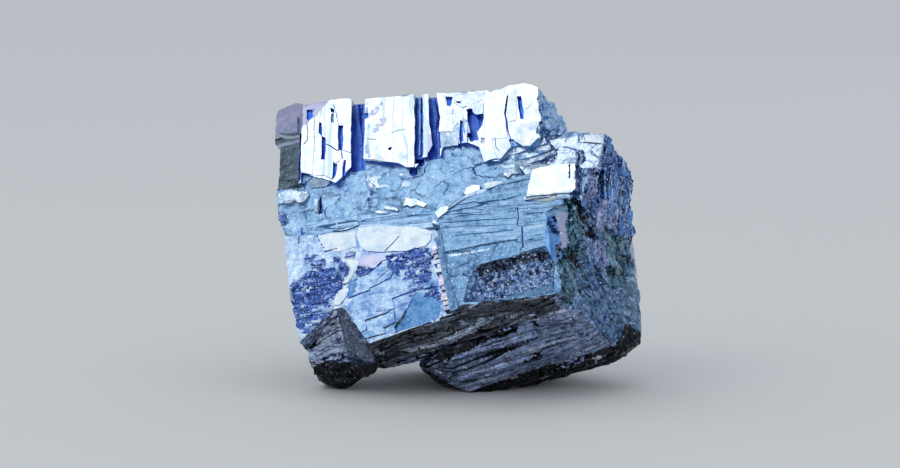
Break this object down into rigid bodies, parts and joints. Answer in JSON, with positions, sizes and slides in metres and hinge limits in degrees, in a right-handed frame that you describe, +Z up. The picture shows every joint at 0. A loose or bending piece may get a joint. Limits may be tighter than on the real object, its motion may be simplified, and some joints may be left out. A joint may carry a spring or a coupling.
{
  "type": "galena crystal",
  "caption": "Blocky lump of intergrown metallic cubes with stepped cleavage faces, a rough side and a striated underside, resting leaned back on its own corners.",
  "frame": {"origin": "middle of the bounding box's base, on the plane the lump rests on", "axes": "+Z up; +Y away from the broad front cleavage face, which leans back and turns a little to the left; +X to the right, towards the rough side"},
  "size_m": [0.0474, 0.0394, 0.039],
  "materials": {
    "galena": "bright metallic cleavage faces, lead grey with a bluish cast, duller where granular"
  },
  "bodies": {
    "root": {"galena_crystal": "galena"}
  },
  "joints": []
}
